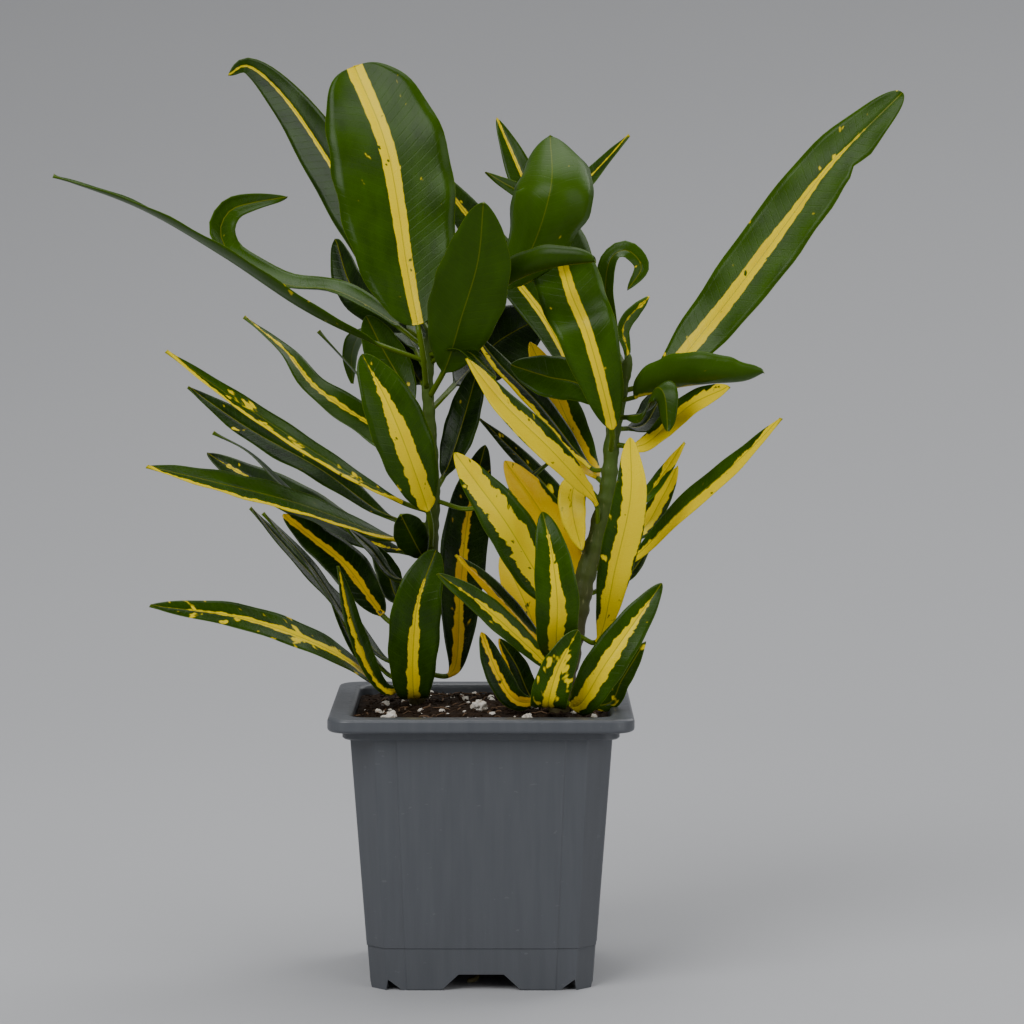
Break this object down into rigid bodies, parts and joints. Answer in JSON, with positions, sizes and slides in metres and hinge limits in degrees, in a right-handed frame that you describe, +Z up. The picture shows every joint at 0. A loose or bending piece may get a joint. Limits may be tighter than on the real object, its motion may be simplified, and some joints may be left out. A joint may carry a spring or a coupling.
{
  "type": "potted croton plant",
  "caption": "House plant with narrow, pointed, yellow-banded evergreen leaves on woody stems, growing in a square tapered nursery pot.",
  "frame": {"origin": "centre of the object's bounding box at the height of the pot's feet; the pot's centre is on the Z axis", "axes": "+Z up, -Y towards the plant's front, +X to the right seen from the front"},
  "size_m": [0.2916, 0.1602, 0.3218],
  "materials": {
    "pot_plastic": "satin grey moulded plastic",
    "soil": "dark crumbly potting soil",
    "perlite": "rough white grains",
    "stem": "green-brown woody stem",
    "leaf": "glossy green leaf with a yellow band along the midrib"
  },
  "bodies": {
    "root": {"leaf_left_01": "leaf", "leaf_left_02": "leaf", "leaf_left_03": "leaf", "leaf_left_04": "leaf", "leaf_left_07": "leaf", "leaf_left_08": "leaf", "leaf_left_09": "leaf", "leaf_left_12": "leaf", "leaf_left_36": "leaf", "leaf_left_45": "leaf", "leaf_left_50": "leaf", "leaf_left_51": "leaf", "leaf_left_54": "leaf", "leaf_left_55": "leaf", "leaf_left_56": "leaf", "leaf_left_57": "leaf", "leaf_left_58": "leaf", "leaf_left_59": "leaf", "leaf_left_60": "leaf", "leaf_left_61": "leaf", "leaf_left_62": "leaf", "leaf_left_65": "leaf", "leaf_left_66": "leaf", "leaf_left_67": "leaf", "leaf_left_71": "leaf", "leaf_right_10": "leaf", "leaf_right_13": "leaf", "leaf_right_14": "leaf", "leaf_right_15": "leaf", "leaf_right_17": "leaf", "leaf_right_18": "leaf", "leaf_right_19": "leaf", "leaf_right_21": "leaf", "leaf_right_25": "leaf", "leaf_right_26": "leaf", "leaf_right_29": "leaf", "leaf_right_30": "leaf", "leaf_right_32": "leaf", "leaf_right_33": "leaf", "leaf_right_34": "leaf", "leaf_right_37": "leaf", "leaf_right_38": "leaf", "leaf_right_39": "leaf", "leaf_right_40": "leaf", "leaf_right_41": "leaf", "leaf_right_42": "leaf", "leaf_right_43": "leaf", "leaf_right_46": "leaf", "leaf_right_47": "leaf", "leaf_right_48": "leaf", "leaf_right_68": "leaf", "perlite_1": "perlite", "perlite_2": "perlite", "perlite_3": "perlite", "pot": "pot_plastic", "root": "stem", "soil": "soil", "stem_left": "stem", "stem_right": "stem"}
  },
  "joints": []
}
